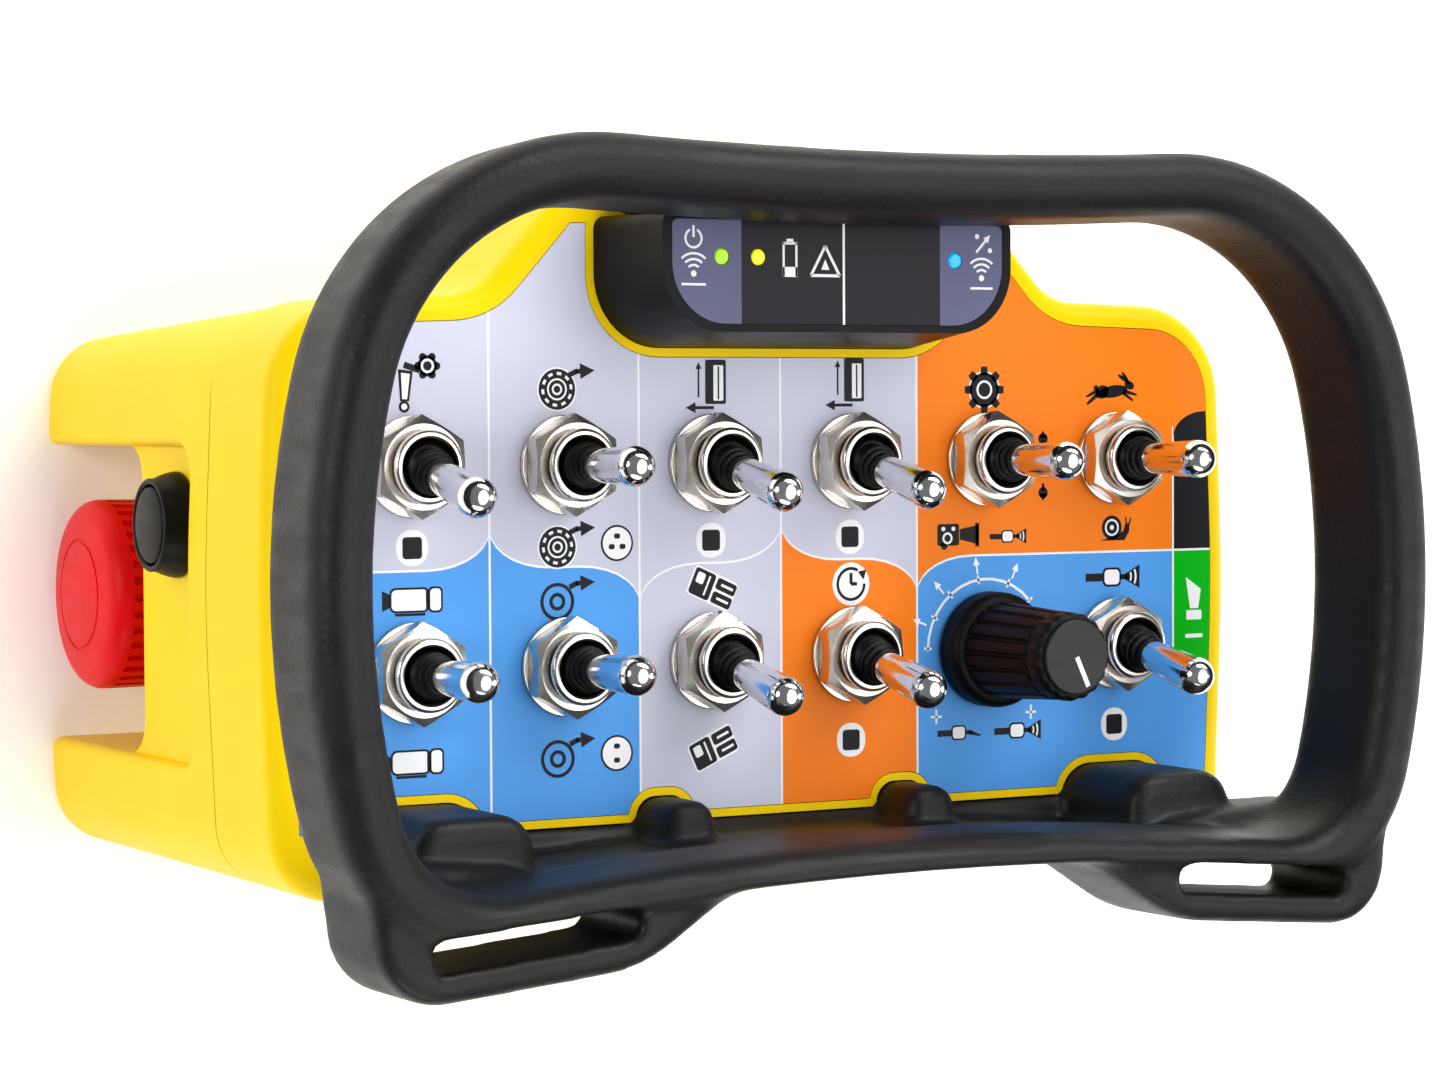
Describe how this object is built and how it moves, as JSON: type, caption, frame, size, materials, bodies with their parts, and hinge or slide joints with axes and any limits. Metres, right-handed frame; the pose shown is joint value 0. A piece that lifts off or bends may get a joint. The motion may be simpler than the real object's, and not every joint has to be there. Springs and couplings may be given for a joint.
{
  "type": "radio remote control transmitter",
  "caption": "Belly-carried radio remote control with guard frame, toggle levers, rotary speed knob, status display, side stop button and start button in a moulded housing.",
  "frame": {"origin": "middle of the rear runners' support plane, under the centre of the overall box", "axes": "+X to the operator's right along the panel, +Y towards the display, +Z out of the panel"},
  "size_m": [0.243, 0.1524, 0.1779],
  "materials": {
    "yellow_shell": "satin moulded yellow",
    "black_frame": "grained matt black",
    "black_pod": "satin black",
    "black_knob": "satin black",
    "black_cap": "smooth black",
    "black_inner": "plain black",
    "display_glass": "dark printed window",
    "printed_foil": "printed foil in colour fields",
    "plate_metal": "plain",
    "bright_nickel": "bright nickel",
    "lever_chrome": "polished",
    "dark_rubber": "matt black",
    "red_cap": "satin red",
    "circuit_board": "green laminate",
    "screw_steel": "zinc plated",
    "white_mark": "white",
    "lamp_green": "clear tinted",
    "lamp_yellow": "clear tinted",
    "lamp_blue": "clear tinted"
  },
  "bodies": {
    "base": {"front_housing": "yellow_shell", "rear_housing": "yellow_shell", "housing_gasket": "dark_rubber", "control_plate": "plate_metal", "panel_foil": "printed_foil", "guard_frame": "black_frame", "display_pod": "black_pod", "display_window": "display_glass", "display_board": "circuit_board", "led_green": "lamp_green", "led_yellow": "lamp_yellow", "led_blue": "lamp_blue", "toggle_washers": "bright_nickel", "toggle_nuts": "bright_nickel", "toggle_bushings": "bright_nickel", "toggle_switch_cases": "black_inner", "potentiometer": "plate_metal", "potentiometer_nut": "bright_nickel", "stop_collar": "black_inner", "stop_ring_nut": "black_inner", "stop_contact_block": "black_inner", "start_bezel": "dark_rubber", "start_switch": "black_inner", "main_board": "circuit_board", "radio_module": "plate_metal", "antenna": "black_inner", "battery_pack": "black_inner", "housing_screws": "screw_steel", "frame_screws": "screw_steel"},
    "toggle_01": {"toggle_lever_01": "lever_chrome", "toggle_boot_01": "dark_rubber"},
    "toggle_02": {"toggle_lever_02": "lever_chrome", "toggle_boot_02": "dark_rubber"},
    "toggle_03": {"toggle_lever_03": "lever_chrome", "toggle_boot_03": "dark_rubber"},
    "toggle_04": {"toggle_lever_04": "lever_chrome", "toggle_boot_04": "dark_rubber"},
    "toggle_05": {"toggle_lever_05": "lever_chrome", "toggle_boot_05": "dark_rubber"},
    "toggle_06": {"toggle_lever_06": "lever_chrome", "toggle_boot_06": "dark_rubber"},
    "toggle_07": {"toggle_lever_07": "lever_chrome", "toggle_boot_07": "dark_rubber"},
    "toggle_08": {"toggle_lever_08": "lever_chrome", "toggle_boot_08": "dark_rubber"},
    "toggle_09": {"toggle_lever_09": "lever_chrome", "toggle_boot_09": "dark_rubber"},
    "toggle_10": {"toggle_lever_10": "lever_chrome", "toggle_boot_10": "dark_rubber"},
    "toggle_11": {"toggle_lever_11": "lever_chrome", "toggle_boot_11": "dark_rubber"},
    "knob": {"knob_body": "black_knob", "knob_cap": "black_cap", "knob_pointer": "white_mark", "potentiometer_shaft": "plate_metal"},
    "stop_stem": {"stop_plunger": "black_inner"},
    "stop_button": {"stop_head": "red_cap"},
    "start_button": {"start_cap": "black_cap"}
  },
  "joints": [
    {"name": "toggle_01_tilt", "type": "hinge", "parent": "base", "child": "toggle_01", "pos_m": [-0.08, 0.01661, 0.1292], "axis": [1, 0, 0], "range_deg": [-26, 0]},
    {"name": "toggle_02_tilt", "type": "hinge", "parent": "base", "child": "toggle_02", "pos_m": [-0.048, 0.01661, 0.1292], "axis": [1, 0, 0], "range_deg": [-13, 13]},
    {"name": "toggle_03_tilt", "type": "hinge", "parent": "base", "child": "toggle_03", "pos_m": [-0.016, 0.01661, 0.1292], "axis": [1, 0, 0], "range_deg": [-26, 0]},
    {"name": "toggle_04_tilt", "type": "hinge", "parent": "base", "child": "toggle_04", "pos_m": [0.016, 0.01661, 0.1292], "axis": [1, 0, 0], "range_deg": [-26, 0]},
    {"name": "toggle_05_tilt", "type": "hinge", "parent": "base", "child": "toggle_05", "pos_m": [0.048, 0.01661, 0.1292], "axis": [1, 0, 0], "range_deg": [-13, 13]},
    {"name": "toggle_06_tilt", "type": "hinge", "parent": "base", "child": "toggle_06", "pos_m": [0.08, 0.01661, 0.1292], "axis": [1, 0, 0], "range_deg": [-13, 13]},
    {"name": "toggle_07_tilt", "type": "hinge", "parent": "base", "child": "toggle_07", "pos_m": [-0.08, -0.02189, 0.1292], "axis": [1, 0, 0], "range_deg": [-13, 13]},
    {"name": "toggle_08_tilt", "type": "hinge", "parent": "base", "child": "toggle_08", "pos_m": [-0.048, -0.02189, 0.1292], "axis": [1, 0, 0], "range_deg": [-13, 13]},
    {"name": "toggle_09_tilt", "type": "hinge", "parent": "base", "child": "toggle_09", "pos_m": [-0.016, -0.02189, 0.1292], "axis": [1, 0, 0], "range_deg": [-26, 0]},
    {"name": "toggle_10_tilt", "type": "hinge", "parent": "base", "child": "toggle_10", "pos_m": [0.016, -0.02189, 0.1292], "axis": [1, 0, 0], "range_deg": [-26, 0]},
    {"name": "toggle_11_tilt", "type": "hinge", "parent": "base", "child": "toggle_11", "pos_m": [0.08, -0.02189, 0.1292], "axis": [1, 0, 0], "range_deg": [-26, 0]},
    {"name": "knob_turn", "type": "hinge", "parent": "base", "child": "knob", "pos_m": [0.048, -0.02189, 0.124], "axis": [0, 0, 1], "range_deg": [0, 300]},
    {"name": "stop_push", "type": "slide", "parent": "base", "child": "stop_stem", "axis": [1, 0, 0], "range_m": [0, 0.004]},
    {"name": "stop_twist", "type": "hinge", "parent": "stop_stem", "child": "stop_button", "pos_m": [-0.1094, -0.01054, 0.022], "axis": [-1, 0, 0], "range_deg": [-45, 0], "stiffness_Nm_per_rad": 0.05},
    {"name": "start_push", "type": "slide", "parent": "base", "child": "start_button", "axis": [1, 0, 0], "range_m": [0, 0.002], "stiffness_N_per_m": 800}
  ]
}
